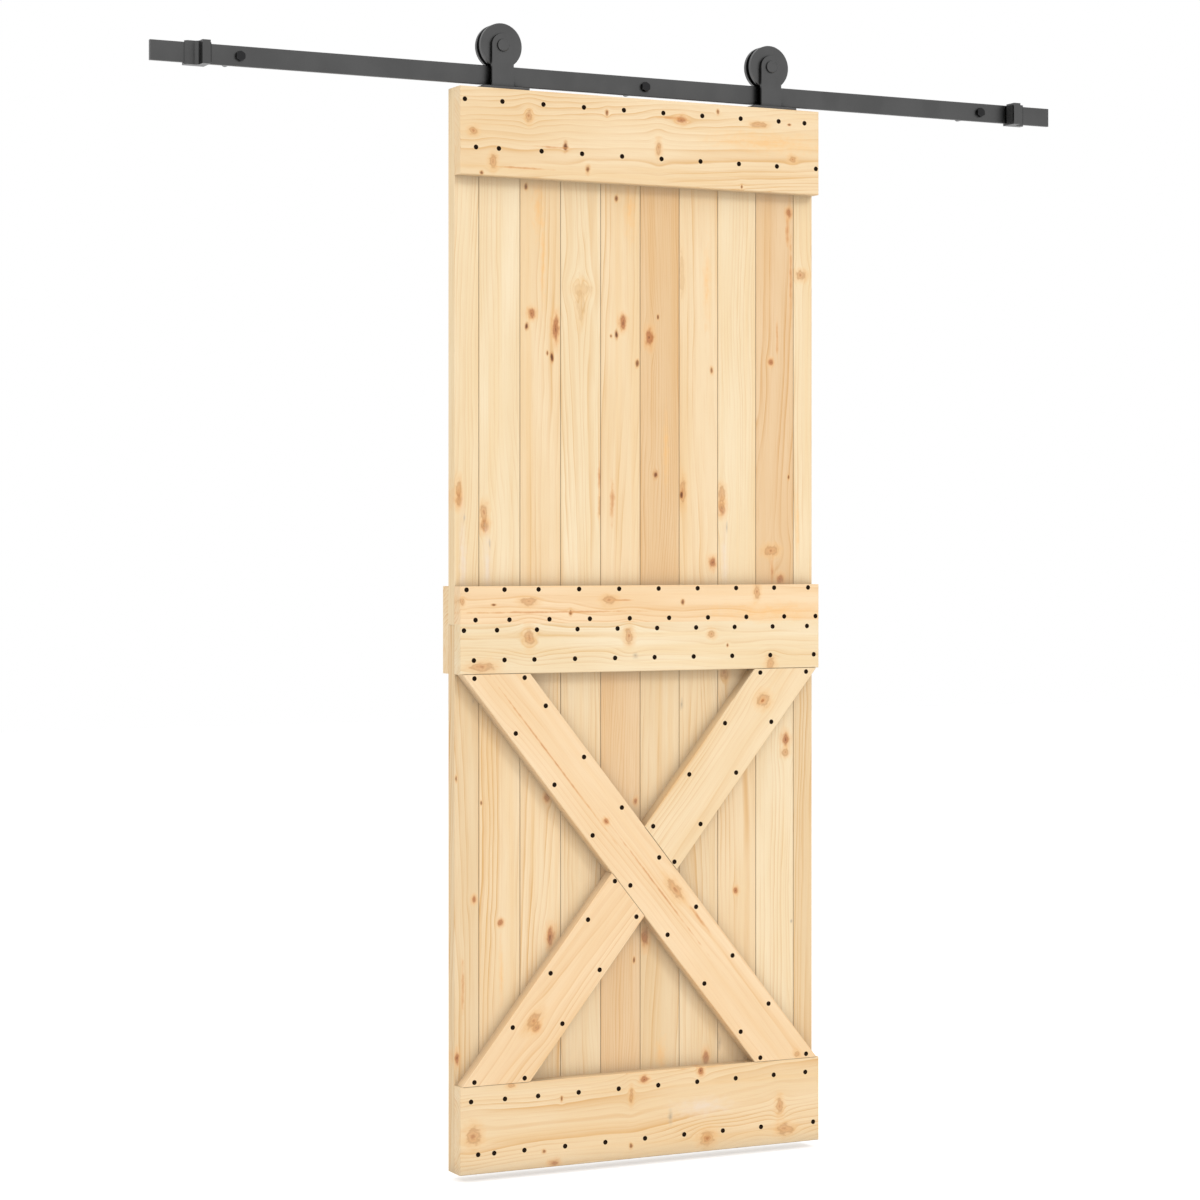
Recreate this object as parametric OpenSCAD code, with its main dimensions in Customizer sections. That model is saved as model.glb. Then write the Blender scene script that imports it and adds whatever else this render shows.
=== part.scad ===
// Sliding barn door of pine planks, hung on a flat steel rail by two wheeled hangers.
// The origin is on the middle stand-off's axis, where it meets the wall.
// +X runs along the rail, +Y into the wall and +Z up.

/* [Door] */
// Width of the door
door_w = 800; // [720:1:880]
// Height of the door
door_h = 2100; // [1950:1:2250]
// Thickness of every board
board_t = 28; // [24:0.5:32]
// Width of the plank at the left edge
first_plank_w = 52; // [48:1:70]
// Width of the plank at the right edge
last_plank_w = 44; // [42:1:70]
// Gap between neighbouring boards
board_gap = 0.4; // [0.2:0.1:1]
// Bevel along the front edges of the planks
plank_bevel = 1; // [0.5:0.1:2]
// Reach of each plank's tongue
tongue_l = 6; // [4:0.5:8]
// Thickness of each plank's tongue
tongue_t = 7; // [5:0.5:8]
// Play of the tongue in the groove
tongue_play = 0.3; // [0.1:0.1:0.5]

/* [Ledges and braces] */
// Height of each ledge
ledge_h = 170; // [150:1:190]
// Lower edge of the middle ledges above the door's foot
middle_z = 965; // [900:1:1030]
// Joint between upper and lower planks above the middle ledge's centre line
split_up = 10; // [0:1:20]
// Width of the braces
brace_w = 112; // [95:1:125]
// Distance from the braces' tips to the door's edges
brace_inset = 5; // [2:1:12]
// Bevel along the front edges of ledges and braces
board_bevel = 1.5; // [0.5:0.1:2.5]

/* [Wood screws] */
// Distance from the top ledge's upper screws to the door's top
top_row_in = 25.5; // [15:0.5:40]
// Distance from the top ledge's lower screws to its lower edge
top_row_up = 53; // [20:0.5:70]
// Distance from the middle ledge's highest screws to its upper edge
middle_row_in = 6.5; // [6:0.5:12]
// Distance from the planks' end joint to the screws on either side of it
split_row_in = 10; // [8:0.5:20]
// Distance from the middle ledge's lowest screws to its lower edge
middle_row_up = 27; // [10:0.5:40]
// Distance from the bottom ledge's upper screws to its upper edge
bottom_row_in = 29; // [10:0.5:50]
// Distance from the bottom ledge's lower screws to the door's foot
bottom_row_up = 38; // [10:0.5:60]
// Shank diameter
screw_d = 4.5; // [3.5:0.1:5]
// Head diameter
screw_head_d = 9.5; // [8:0.1:10]
// Wood left behind the tip of a ledge or brace screw
screw_cover = 6; // [4:1:10]
// Wood left behind the tip of a middle ledge screw
long_screw_cover = 14; // [8:1:18]
// Distance from the brace screws to the brace's edges
brace_screw_in = 14.5; // [10:0.5:20]
// Distance from the last brace screws to the ledges
brace_end_in = 8; // [7:1:14]
// Distance along the long brace from the ledge to its first pair of screws
brace_pair_end = 116; // [90:1:140]

/* [Rail] */
// Length of the rail
rail_l = 2000; // [1900:1:2200]
// Height of the rail
rail_h = 38; // [34:1:44]
// Thickness of the rail
rail_t = 8; // [6:0.5:9]
// Bevel along the rail's edges
rail_bevel = 0.8; // [0.4:0.1:1.5]
// Distance from the rail's ends to the outer bolts
bolt_end = 175; // [150:1:220]
// Distance from the rail's middle to the middle bolt
middle_bolt_off = 28; // [0:1:60]

/* [Stand-offs and rail bolts] */
// Distance from the wall to the rail
standoff_l = 80; // [75:1:100]
// Diameter of the stand-offs
standoff_d = 16; // [15:0.5:20]
// Diameter of the rail bolts and wall studs
bolt_d = 10; // [8:0.5:10]
// Length of a rail bolt under its head
bolt_l = 30; // [22:1:34]
// Depth of the tapped hole for the wall stud
stud_hole_l = 40; // [30:1:42]
// Width of the bolt heads across flats
bolt_af = 17; // [14:0.5:18]
// Height of the bolt heads
bolt_head_h = 7; // [5:0.5:8]

/* [End stops] */
// Distance from the rail's ends to the stops' inner faces
stop_inset = 107.5; // [90:0.5:120]
// Thickness of the stop's arm along the rail
stop_arm_t = 16; // [12:0.5:20]
// Reach of the stop's arm in front of the rail
stop_arm_d = 29; // [24:0.5:32]
// Length of the stop's clip beyond its arm
stop_clip_l = 26; // [20:1:40]
// Thickness of the stop's clip in front of the rail
stop_clip_t = 6; // [5:0.5:10]
// Bevel at the outer end of the clip
stop_bevel = 5; // [3:0.5:5]
// Radius where the clip runs into the arm
stop_fillet_r = 8; // [4:0.5:10]
// Height of the stop above the rail's upper edge
stop_rise = 2.5; // [1:0.5:3]
// Thickness of the stop's lip under the rail
stop_lip_t = 4; // [3:0.5:4.5]
// Thickness of the stop's leg behind the rail
stop_leg_t = 4; // [4:0.5:10]
// Height of the leg above the rail's lower edge
stop_leg_h = 22; // [18:1:25]
// Thickness of the rubber pad on the arm
pad_t = 3; // [2:0.5:5]
// Distance from the pad to the arm's edges
pad_in = 4; // [2:0.5:6]
// Diameter of the set screws
set_screw_d = 6; // [5:0.5:8]

/* [Hangers] */
// Distance from the door's edges to the hangers' centre lines
hanger_in = 100; // [70:1:150]
// Width of the hanger's upright plate
plate_w = 46; // [44:1:50]
// Thickness of the hanger's upright plate
plate_t = 6; // [5:0.5:8]
// Length of the hanger's foot along the door
foot_l = 100; // [90:1:120]
// Depth of the hanger's foot
foot_d = 42; // [38:1:48]
// Thickness of the hanger's foot
foot_t = 5; // [4:0.5:5.5]
// Distance from the door's front to the foot
foot_in = 5; // [2:0.5:6]
// Leg of the weld behind the plate
weld_leg = 3; // [2:0.5:4]
// Gap between the door's top and the rail
door_gap = 11; // [10.5:0.5:16]
// Place of the door's centre line from the rail's middle, at rest
door_rest = 8; // [-100:1:100]
// Shank diameter of the foot's screws
foot_screw_d = 6; // [5:0.5:7]
// Head diameter of the foot's screws
foot_screw_head_d = 11; // [10:0.5:12]
// Length of the foot's screws
foot_screw_l = 60; // [40:1:70]
// Distance from the hanger's centre to the foot's screws
foot_screw_x = 38; // [32:1:42]
// Distance from the foot's front edge to its screws
foot_screw_in = 7.5; // [7:0.5:8]

/* [Wheels and axles] */
// Outer radius of a wheel
wheel_r = 44; // [42:0.5:46]
// Radius at the bottom of the groove
groove_r = 38; // [37:0.5:40]
// Width of a wheel
wheel_w = 30; // [26:0.5:34]
// Width at the bottom of the groove
groove_w = 10; // [9.5:0.5:12]
// Slope of each side of the groove
groove_flare = 0.8; // [0:0.1:1.5]
// Bevel on the rims of the wheel
wheel_bevel = 1.5; // [0.5:0.1:2.5]
// Gap between the wheel and the rail
wheel_lift = 0.3; // [0.1:0.1:0.5]
// Diameter of the axle
axle_d = 12; // [10:0.5:12]
// Head diameter of the axle bolt
axle_head_d = 24; // [20:0.5:28]
// Head height of the axle bolt
axle_head_h = 5; // [4:0.5:7]
// Outer diameter of the bearings
bearing_d = 28; // [26:0.5:32]
// Width of the bearings
bearing_w = 8; // [7:0.5:9]
// Diameter of the washers and of the sleeve between the bearings
sleeve_d = 16; // [15:0.5:18]
// Thickness of the washers
washer_t = 1; // [0.8:0.1:2]
// Width of the axle nut across flats
nut_af = 19; // [17:0.5:20]
// Height of the axle nut
nut_h = 10; // [8:0.5:12]

/* [Hidden] */
$fn = 48;
// Radial play of screws and bolts in their holes, and of the bearings on the axle
fit_play = 0.05;
// Radial play of the bearings in the wheel
press_play = 0.02;
// Gap between faces that turn past each other
run_gap = 0.1;
// Overshoot of cuts
over = 1;

// Planks: full ones between the two cut ones at the edges
full_planks = 8;
plank_n = full_planks + 2;
plank_cover = (door_w - first_plank_w - last_plank_w) / full_planks;

// Places across the door's thickness, with the rail over the middle of the planks
rail_back_y = -standoff_l;
rail_front_y = rail_back_y - rail_t;
rail_mid_y = rail_back_y - rail_t / 2;
door_y = rail_mid_y - 1.5 * board_t;
rail_x = -middle_bolt_off;
door_x = rail_x + door_rest;
door_top_z = -rail_h / 2 - door_gap;
door_z = door_top_z - door_h;
axle_z = rail_h / 2 + wheel_lift + groove_r;

// Rail bolts, from the row's origin
bolt_x = [rail_x - rail_l / 2 + bolt_end, 0, rail_x + rail_l / 2 - bolt_end];
bolt_hole_play = 1;
standoff_bevel = 0.8;
// Width of a hexagon head's flat face, as a share of its width across flats
hexagon_face = 0.95;

// Ledges and the joint of the planks, above the door's foot
top_z = door_h - ledge_h;
split_z = middle_z + ledge_h / 2 + split_up;

// Braces: the long one leans at brace_a from level and fills the field between the ledges
field_h = middle_z - ledge_h;
field_w = door_w - 2 * brace_inset;
field_z = (middle_z + ledge_h) / 2;
brace_a = atan(field_h / field_w) + asin(brace_w / norm([field_w, field_h]));
brace_l = 2 * norm([field_w, field_h]);
brace_pairs = 7;
brace_pitch = (field_h / sin(brace_a) - 2 * brace_pair_end) / (brace_pairs - 1);
brace_screw_v = brace_w / 2 - brace_screw_in;
// Height of the corner between the long brace and a short one, below the ledge
corner_drop = field_h / 2 - brace_w / 2 / cos(brace_a);
short_rows = 4;
short_tip_in = 16;

// Wood screws
screw_rim = 0.4;
screw_tip = 6;
screw_l = 2 * board_t - screw_cover;
long_screw_l = 3 * board_t - long_screw_cover;
recess_l = 4.6;
recess_w = 1.1;
recess_deep = 1.6;

// Rows of ledge screws: height above the door's foot, then how far each screw is set
// sideways from its plank's middle: the first plank, the second, the inner ones and the last
top_rows = [
    [door_h - top_row_in, -16, -6.5, -6.5, -12],
    [top_z + top_row_up, 7.5, -14, -10.5, 15],
];
middle_rows = [
    [middle_z + ledge_h - middle_row_in, -12.5, -2, -17, -3.5],
    [split_z + split_row_in, 6.5, 8.5, 6.5, 14],
    [split_z - split_row_in, -18, -18, -20.5, -6],
    [middle_z + middle_row_up, 3, -2, -26, 10],
];
bottom_rows = [
    [ledge_h - bottom_row_in, -3, -1, -18, -10],
    [bottom_row_up, 12, -24, -47.5, 8.5],
];

// End stops
stop_l = stop_arm_t + stop_clip_l;
stop_h = stop_lip_t + rail_h + stop_rise;
stop_play = 0.3;
pad_bevel = 1;
set_screw_in = 10;
set_screw_x = [set_screw_in, stop_l - set_screw_in];
set_screw_z = 10;

// Hangers and wheels
hanger_reach = door_w / 2 - hanger_in;
hanger_x = [door_x - hanger_reach, door_x + hanger_reach];
wheel_front_y = rail_mid_y - wheel_w / 2;
wheel_back_y = rail_mid_y + wheel_w / 2;
plate_back_y = wheel_front_y - run_gap - washer_t;
plate_front_y = plate_back_y - plate_t;
foot_y = door_y + foot_in;
axle_end = 2;
axle_bevel = 1;
axle_head_bevel = 1.5;
axle_l = wheel_back_y + run_gap + washer_t + nut_h + axle_end - plate_front_y;
bearing_ring = 2;
bearing_seal_deep = 0.5;
bearing_lip = 3;
hub_r = bearing_d / 2 - bearing_lip;

steel = "#5c5c5c";
dark_steel = "#3c3c3c";
bare_steel = "#a8a8a8";
rubber = "#151515";
pine = ["#e3bd8a", "#dcb27c", "#e8c898", "#d9ab72"];
screw_black = "#1b1b1b";

// Left edge of plank i, and the right edge of the door for i = plank_n
function seam(i) =
    i == 0 ? -door_w / 2
    : i == plank_n ? door_w / 2
    : -door_w / 2 + first_plank_w + (i - 1) * plank_cover;

function plank_mid(i) = (seam(i) + seam(i + 1)) / 2;

// Places of one row of ledge screws, one to each plank
function row_points(row) = [
    for (i = [0:plank_n - 1])
        [plank_mid(i) + (i == 0 ? row[1] : i == 1 ? row[2] : i == plank_n - 1 ? row[4] : row[3]), row[0]]
];

function all_rows(rows) = [for (row = rows) each row_points(row)];

// Point of the long brace, u along it from its middle and v across it
function brace_point(u, v) =
    [u * cos(brace_a) + v * sin(brace_a), field_z - u * sin(brace_a) + v * cos(brace_a)];

// Point of the long brace at height z, v across it
function brace_point_at(z, v) =
    brace_point((field_z + v * cos(brace_a) - z) / sin(brace_a), v);

function turned(points) = [for (p = points) [-p[0], 2 * field_z - p[1]]];

long_brace_points = concat(
    [
        for (k = [0:brace_pairs - 1], side = [-1, 1])
            brace_point((k - (brace_pairs - 1) / 2) * brace_pitch, side * brace_screw_v)
    ],
    [
        for (z = [middle_z - brace_end_in, ledge_h + brace_end_in], side = [-1, 1])
            brace_point_at(z, side * brace_screw_v)
    ]
);

// Screws of the long brace's mirror image that fall on the upper short brace
short_drops = [
    for (k = [0:short_rows - 1]) brace_end_in + k * (corner_drop - brace_end_in) / (short_rows - 1)
];
upper_brace_points = [
    for (p = concat(
        [for (drop = short_drops, side = [-1, 1]) brace_point_at(middle_z - drop, side * brace_screw_v)],
        [brace_point_at(middle_z - field_h / 2 + short_tip_in, -brace_screw_v)]
    )) [-p[0], p[1]]
];
lower_brace_points = turned(upper_brace_points);

brace_points = concat(long_brace_points, upper_brace_points, lower_brace_points);
short_screw_points = concat(all_rows(top_rows), all_rows(bottom_rows), brace_points);
long_screw_points = all_rows(middle_rows);

// Half section of a countersunk screw, head face at 0, with its play in a hole
function screw_section(d, head_d, l, play = 0) = [
    [0, play > 0 ? -over : 0],
    [head_d / 2 + play, play > 0 ? -over : 0],
    [head_d / 2 + play, screw_rim],
    [d / 2 + play, screw_rim + (head_d - d) / 2],
    [d / 2 + play, play > 0 ? l + over : l - screw_tip],
    [0, play > 0 ? l + over : l],
];

module screw(d, head_d, l) {
    difference() {
        rotate_extrude($fn = 24) polygon(screw_section(d, head_d, l));
        for (a = [0, 90])
            rotate(a)
                translate([-recess_l / 2, -recess_w / 2, -over])
                    cube([recess_l, recess_w, recess_deep + over]);
    }
}

module screw_hole(d, head_d, l) {
    rotate_extrude($fn = 24) polygon(screw_section(d, head_d, l, fit_play));
}

// The door's own frame: X from its centre line, Y from its front face, Z from its foot
module in_door() {
    translate([door_x, door_y, door_z]) children();
}

module at_points(points) {
    for (p = points)
        translate([p[0], 0, p[1]])
            rotate([-90, 0, 0])
                children();
}

module wood_screws(points, l) {
    color(screw_black) in_door() at_points(points) screw(screw_d, screw_head_d, l);
}

module wood_screw_holes(points, l) {
    at_points(points) screw_hole(screw_d, screw_head_d, l);
}

// Bar of l along X and h along Z, its long front edges bevelled
module bevelled_bar(l, h, t, bevel) {
    rotate([90, 0, 90])
        linear_extrude(l)
            polygon([[0, bevel], [bevel, 0], [t, 0], [t, h], [bevel, h], [0, h - bevel]]);
}

// Board with all four front edges bevelled
module board(l, h, t, bevel) {
    intersection() {
        bevelled_bar(l, h, t, bevel);
        linear_extrude(h)
            polygon([[0, bevel], [bevel, 0], [l - bevel, 0], [l, bevel], [l, t], [0, t]]);
    }
}

// Planks
module plank_section(i) {
    left = seam(i) + (i == 0 ? 0 : board_gap / 2);
    right = seam(i + 1) - (i == plank_n - 1 ? 0 : board_gap / 2);
    groove_t = tongue_t + 2 * tongue_play;
    difference() {
        union() {
            polygon([
                [left, plank_bevel],
                [left + plank_bevel, 0],
                [right - plank_bevel, 0],
                [right, plank_bevel],
                [right, board_t],
                [left, board_t],
            ]);
            if (i < plank_n - 1)
                translate([right - over, (board_t - tongue_t) / 2])
                    square([over + board_gap + tongue_l, tongue_t]);
        }
        if (i > 0)
            translate([left - over, (board_t - groove_t) / 2])
                square([over + tongue_l + tongue_play, groove_t]);
    }
}

module plank(i, low, high) {
    reach = (seam(i + 1) - seam(i)) / 2 + tongue_l + screw_d;
    middle = plank_mid(i);
    color(pine[i % len(pine)])
        in_door()
            difference() {
                translate([0, board_t, low])
                    linear_extrude(high - low)
                        plank_section(i);
                wood_screw_holes(near(short_screw_points, middle, reach, low, high), screw_l);
                wood_screw_holes(near(long_screw_points, middle, reach, low, high), long_screw_l);
            }
}

function near(points, x, reach, low, high) = [
    for (p = points)
        if (abs(p[0] - x) < reach && p[1] > low - screw_d && p[1] < high + screw_d) p
];

module upper_plank(i) {
    plank(i, split_z + board_gap / 2, door_h);
}

module lower_plank(i) {
    plank(i, 0, split_z - board_gap / 2);
}

// Ledges
module ledge(z, points, l) {
    difference() {
        translate([-door_w / 2, 0, z]) board(door_w, ledge_h, board_t, board_bevel);
        wood_screw_holes(points, l);
    }
}

module top_ledge() {
    color(pine[0])
        difference() {
            in_door() ledge(top_z, all_rows(top_rows), screw_l);
            foot_screw_places() screw_hole(foot_screw_d, foot_screw_head_d, foot_screw_l);
        }
}

module middle_ledge() {
    color(pine[1]) in_door() ledge(middle_z, long_screw_points, long_screw_l);
}

module bottom_ledge() {
    color(pine[2]) in_door() ledge(0, all_rows(bottom_rows), screw_l);
}

module back_ledge() {
    color(pine[3])
        in_door()
            difference() {
                translate([door_w / 2, 3 * board_t, middle_z])
                    rotate(180)
                        board(door_w, ledge_h, board_t, board_bevel);
                wood_screw_holes(long_screw_points, long_screw_l);
            }
}

// Braces
module along_brace() {
    translate([0, 0, field_z]) rotate([0, brace_a, 0]) children();
}

module brace_bar() {
    intersection() {
        along_brace()
            translate([-brace_l / 2, 0, -brace_w / 2])
                bevelled_bar(brace_l, brace_w, board_t, board_bevel);
        translate([-door_w / 2, -over, ledge_h + board_gap])
            cube([door_w, board_t + 2 * over, field_h - 2 * board_gap]);
    }
}

module long_brace() {
    color(pine[1])
        in_door()
            difference() {
                brace_bar();
                wood_screw_holes(long_brace_points, screw_l);
            }
}

// Short brace above the long one
module short_brace_blank() {
    difference() {
        mirror([1, 0, 0]) brace_bar();
        along_brace()
            translate([-brace_l / 2, -over, -brace_l])
                cube([brace_l, board_t + 2 * over, brace_l + brace_w / 2 + board_gap]);
    }
}

module upper_brace() {
    color(pine[0])
        in_door()
            difference() {
                short_brace_blank();
                wood_screw_holes(upper_brace_points, screw_l);
            }
}

module lower_brace() {
    color(pine[2])
        in_door()
            difference() {
                translate([0, 0, 2 * field_z])
                    rotate([0, 180, 0])
                        short_brace_blank();
                wood_screw_holes(lower_brace_points, screw_l);
            }
}

// Wood screws of the ledges and braces
module top_ledge_screws() {
    wood_screws(all_rows(top_rows), screw_l);
}

module middle_ledge_screws() {
    wood_screws(long_screw_points, long_screw_l);
}

module bottom_ledge_screws() {
    wood_screws(all_rows(bottom_rows), screw_l);
}

module brace_screws() {
    wood_screws(brace_points, screw_l);
}

// Rail and what carries it
module rail() {
    color(steel)
        difference() {
            translate([rail_x - rail_l / 2, rail_front_y, -rail_h / 2])
                rotate([90, 0, 90])
                    linear_extrude(rail_l)
                        polygon([
                            [0, rail_bevel],
                            [rail_bevel, 0],
                            [rail_t - rail_bevel, 0],
                            [rail_t, rail_bevel],
                            [rail_t, rail_h - rail_bevel],
                            [rail_t - rail_bevel, rail_h],
                            [rail_bevel, rail_h],
                            [0, rail_h - rail_bevel],
                        ]);
            for (x = bolt_x)
                translate([x, rail_front_y - over, 0])
                    rotate([-90, 0, 0])
                        cylinder(d = bolt_d + bolt_hole_play, h = rail_t + 2 * over);
        }
}

// Stand-off with a tapped hole at each end
module standoff(x) {
    bolt_hole_l = bolt_l - rail_t + over;
    color(steel)
        translate([x, 0, 0])
            rotate([90, 0, 0])
                difference() {
                    rotate_extrude()
                        polygon([
                            [0, 0],
                            [standoff_d / 2 - standoff_bevel, 0],
                            [standoff_d / 2, standoff_bevel],
                            [standoff_d / 2, standoff_l - standoff_bevel],
                            [standoff_d / 2 - standoff_bevel, standoff_l],
                            [0, standoff_l],
                        ]);
                    translate([0, 0, -over])
                        cylinder(d = bolt_d + 2 * fit_play, h = stud_hole_l + over);
                    translate([0, 0, standoff_l - bolt_hole_l])
                        cylinder(d = bolt_d + 2 * fit_play, h = bolt_hole_l + over);
                }
}

// Hexagon of width af with its outer corners bevelled
module hexagon(af, h) {
    corner_r = af / 2 / cos(30);
    flat_r = hexagon_face * af / 2;
    intersection() {
        rotate(30) cylinder(r = corner_r, h = h, $fn = 6);
        rotate_extrude()
            polygon([
                [0, 0],
                [corner_r + over, 0],
                [corner_r + over, h - (corner_r + over - flat_r) * tan(30)],
                [flat_r, h],
                [0, h],
            ]);
    }
}

module rail_bolts() {
    color(dark_steel)
        for (x = bolt_x)
            translate([x, rail_front_y, 0])
                rotate([90, 0, 0]) {
                    hexagon(bolt_af, bolt_head_h);
                    translate([0, 0, -bolt_l]) cylinder(d = bolt_d, h = bolt_l);
                }
}

// End stops: origin at the arm's inner face and the rail's front, outwards along +X
module at_stop(side) {
    translate([rail_x, rail_front_y, 0])
        mirror([side < 0 ? 1 : 0, 0, 0])
            translate([rail_l / 2 - stop_inset, 0, 0])
                children();
}

module stop_plan() {
    translate([0, -stop_arm_d]) square([stop_arm_t, stop_arm_d]);
    polygon([
        [0, 0],
        [stop_l, 0],
        [stop_l, stop_bevel - stop_clip_t],
        [stop_l - stop_bevel, -stop_clip_t],
        [0, -stop_clip_t],
    ]);
    difference() {
        translate([stop_arm_t - over, -stop_clip_t - stop_fillet_r])
            square([stop_fillet_r + over, stop_fillet_r + over]);
        translate([stop_arm_t + stop_fillet_r, -stop_clip_t - stop_fillet_r])
            circle(stop_fillet_r);
    }
}

module set_screw_places() {
    for (x = set_screw_x)
        translate([x, rail_t, -rail_h / 2 + set_screw_z])
            rotate([-90, 0, 0])
                children();
}

module stop(side) {
    low = -rail_h / 2 - stop_lip_t;
    leg_y = rail_t + stop_play;
    color(steel)
        at_stop(side)
            difference() {
                union() {
                    translate([0, 0, low]) linear_extrude(stop_h) stop_plan();
                    translate([0, -over, low])
                        cube([stop_l, leg_y + stop_leg_t + over, stop_lip_t]);
                    translate([0, leg_y, low])
                        cube([stop_l, stop_leg_t, stop_lip_t + stop_leg_h]);
                }
                set_screw_places() cylinder(d = set_screw_d + 2 * fit_play, h = stop_leg_t + 2 * over);
            }
}

module stop_pad(side) {
    pad_d = stop_arm_d - 2 * pad_in;
    pad_h = stop_h - 2 * pad_in;
    color(rubber)
        at_stop(side)
            translate([-pad_t, -stop_arm_d + pad_in, -rail_h / 2 - stop_lip_t + pad_in])
                rotate([0, 0, -90])
                    mirror([1, 0, 0])
                        board(pad_d, pad_h, pad_t, pad_bevel);
}

module stop_set_screws() {
    color(screw_black)
        for (side = [-1, 1])
            at_stop(side)
                set_screw_places()
                    difference() {
                        cylinder(d = set_screw_d, h = stop_play + stop_leg_t);
                        translate([0, 0, stop_play + stop_leg_t / 2])
                            cylinder(d = set_screw_d / 2, h = stop_leg_t, $fn = 6);
                    }
}

// Hangers
module foot_screw_places() {
    for (x = hanger_x, side = [-1, 1])
        translate([x + side * foot_screw_x, foot_y + foot_screw_in, door_top_z + foot_t])
            rotate([180, 0, 0])
                children();
}

module hanger(x) {
    color(steel)
        difference() {
            union() {
                translate([x - foot_l / 2, foot_y, door_top_z]) cube([foot_l, foot_d, foot_t]);
                translate([x, plate_back_y, 0])
                    rotate([90, 0, 0])
                        linear_extrude(plate_t) {
                            translate([-plate_w / 2, door_top_z]) square([plate_w, axle_z - door_top_z]);
                            translate([0, axle_z]) circle(d = plate_w);
                        }
                translate([x - plate_w / 2, plate_back_y, door_top_z + foot_t])
                    rotate([90, 0, 90])
                        linear_extrude(plate_w)
                            polygon([
                                [-over, -over],
                                [weld_leg, -over],
                                [weld_leg, 0],
                                [0, weld_leg],
                                [-over, weld_leg],
                            ]);
            }
            translate([x, plate_back_y + over, axle_z])
                rotate([90, 0, 0])
                    cylinder(d = axle_d + 2 * fit_play, h = plate_t + 2 * over);
            foot_screw_places() screw_hole(foot_screw_d, foot_screw_head_d, foot_screw_l);
        }
}

module foot_screws() {
    color(screw_black) foot_screw_places() screw(foot_screw_d, foot_screw_head_d, foot_screw_l);
}

// Axles: +Z of these shapes runs from the plate's front towards the wall
module on_axle(x, y) {
    translate([x, y, axle_z]) rotate([-90, 0, 0]) children();
}

// Axle bolt with a plain flat head
module axle_bolt(x) {
    color(steel)
        on_axle(x, plate_front_y)
            rotate_extrude()
                polygon([
                    [0, -axle_head_h],
                    [axle_head_d / 2 - axle_head_bevel, -axle_head_h],
                    [axle_head_d / 2, axle_head_bevel - axle_head_h],
                    [axle_head_d / 2, 0],
                    [axle_d / 2, 0],
                    [axle_d / 2, axle_l - axle_bevel],
                    [axle_d / 2 - axle_bevel, axle_l],
                    [0, axle_l],
                ]);
}

module ring(outer_d, inner_d, h) {
    difference() {
        cylinder(d = outer_d, h = h);
        translate([0, 0, -over]) cylinder(d = inner_d, h = h + 2 * over);
    }
}

module axle_washers() {
    color(bare_steel)
        for (x = hanger_x, y = [plate_back_y, wheel_back_y + run_gap])
            on_axle(x, y) ring(sleeve_d, axle_d + 2 * fit_play, washer_t);
}

module axle_sleeve(x) {
    color(bare_steel)
        on_axle(x, wheel_front_y + bearing_w + run_gap)
            ring(sleeve_d, axle_d + 2 * fit_play, wheel_w - 2 * bearing_w - 2 * run_gap);
}

module axle_nuts() {
    color(dark_steel)
        for (x = hanger_x)
            on_axle(x, wheel_back_y + run_gap + washer_t)
                difference() {
                    hexagon(nut_af, nut_h);
                    translate([0, 0, -over]) cylinder(d = axle_d + 2 * fit_play, h = nut_h + 2 * over);
                }
}

// Wheels
module wheel(x) {
    pocket_r = bearing_d / 2 + press_play;
    half = wheel_w / 2;
    color(steel)
        on_axle(x, rail_mid_y)
            rotate_extrude($fn = 96)
                polygon([
                    [hub_r, bearing_w - half],
                    [pocket_r, bearing_w - half],
                    [pocket_r, -half],
                    [wheel_r - wheel_bevel, -half],
                    [wheel_r, wheel_bevel - half],
                    [wheel_r, -groove_w / 2 - groove_flare],
                    [groove_r, -groove_w / 2],
                    [groove_r, groove_w / 2],
                    [wheel_r, groove_w / 2 + groove_flare],
                    [wheel_r, half - wheel_bevel],
                    [wheel_r - wheel_bevel, half],
                    [pocket_r, half],
                    [pocket_r, half - bearing_w],
                    [hub_r, half - bearing_w],
                ]);
}

module bearing(x, y) {
    outer_land = bearing_d / 2 - bearing_ring;
    inner_land = axle_d / 2 + bearing_ring;
    color(bare_steel)
        on_axle(x, y)
            rotate_extrude()
                polygon([
                    [axle_d / 2 + fit_play, 0],
                    [inner_land, 0],
                    [inner_land, bearing_seal_deep],
                    [outer_land, bearing_seal_deep],
                    [outer_land, 0],
                    [bearing_d / 2, 0],
                    [bearing_d / 2, bearing_w],
                    [outer_land, bearing_w],
                    [outer_land, bearing_w - bearing_seal_deep],
                    [inner_land, bearing_w - bearing_seal_deep],
                    [inner_land, bearing_w],
                    [axle_d / 2 + fit_play, bearing_w],
                ]);
}

module front_bearing(x) {
    bearing(x, wheel_front_y);
}

module rear_bearing(x) {
    bearing(x, wheel_back_y - bearing_w);
}

rail();
standoff(bolt_x[0]);  // standoff_left
standoff(bolt_x[1]);  // standoff_middle
standoff(bolt_x[2]);  // standoff_right
rail_bolts();
stop(-1);  // stop_left
stop(1);  // stop_right
stop_pad(-1);  // stop_pad_left
stop_pad(1);  // stop_pad_right
stop_set_screws();
for (i = [0:plank_n - 1]) upper_plank(i);
for (i = [0:plank_n - 1]) lower_plank(i);
top_ledge();
middle_ledge();
bottom_ledge();
back_ledge();
long_brace();
upper_brace();
lower_brace();
top_ledge_screws();
middle_ledge_screws();
bottom_ledge_screws();
brace_screws();
hanger(hanger_x[0]);  // hanger_left
hanger(hanger_x[1]);  // hanger_right
foot_screws();
axle_bolt(hanger_x[0]);  // axle_bolt_left
axle_bolt(hanger_x[1]);  // axle_bolt_right
axle_sleeve(hanger_x[0]);  // axle_sleeve_left
axle_sleeve(hanger_x[1]);  // axle_sleeve_right
axle_washers();
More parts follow.
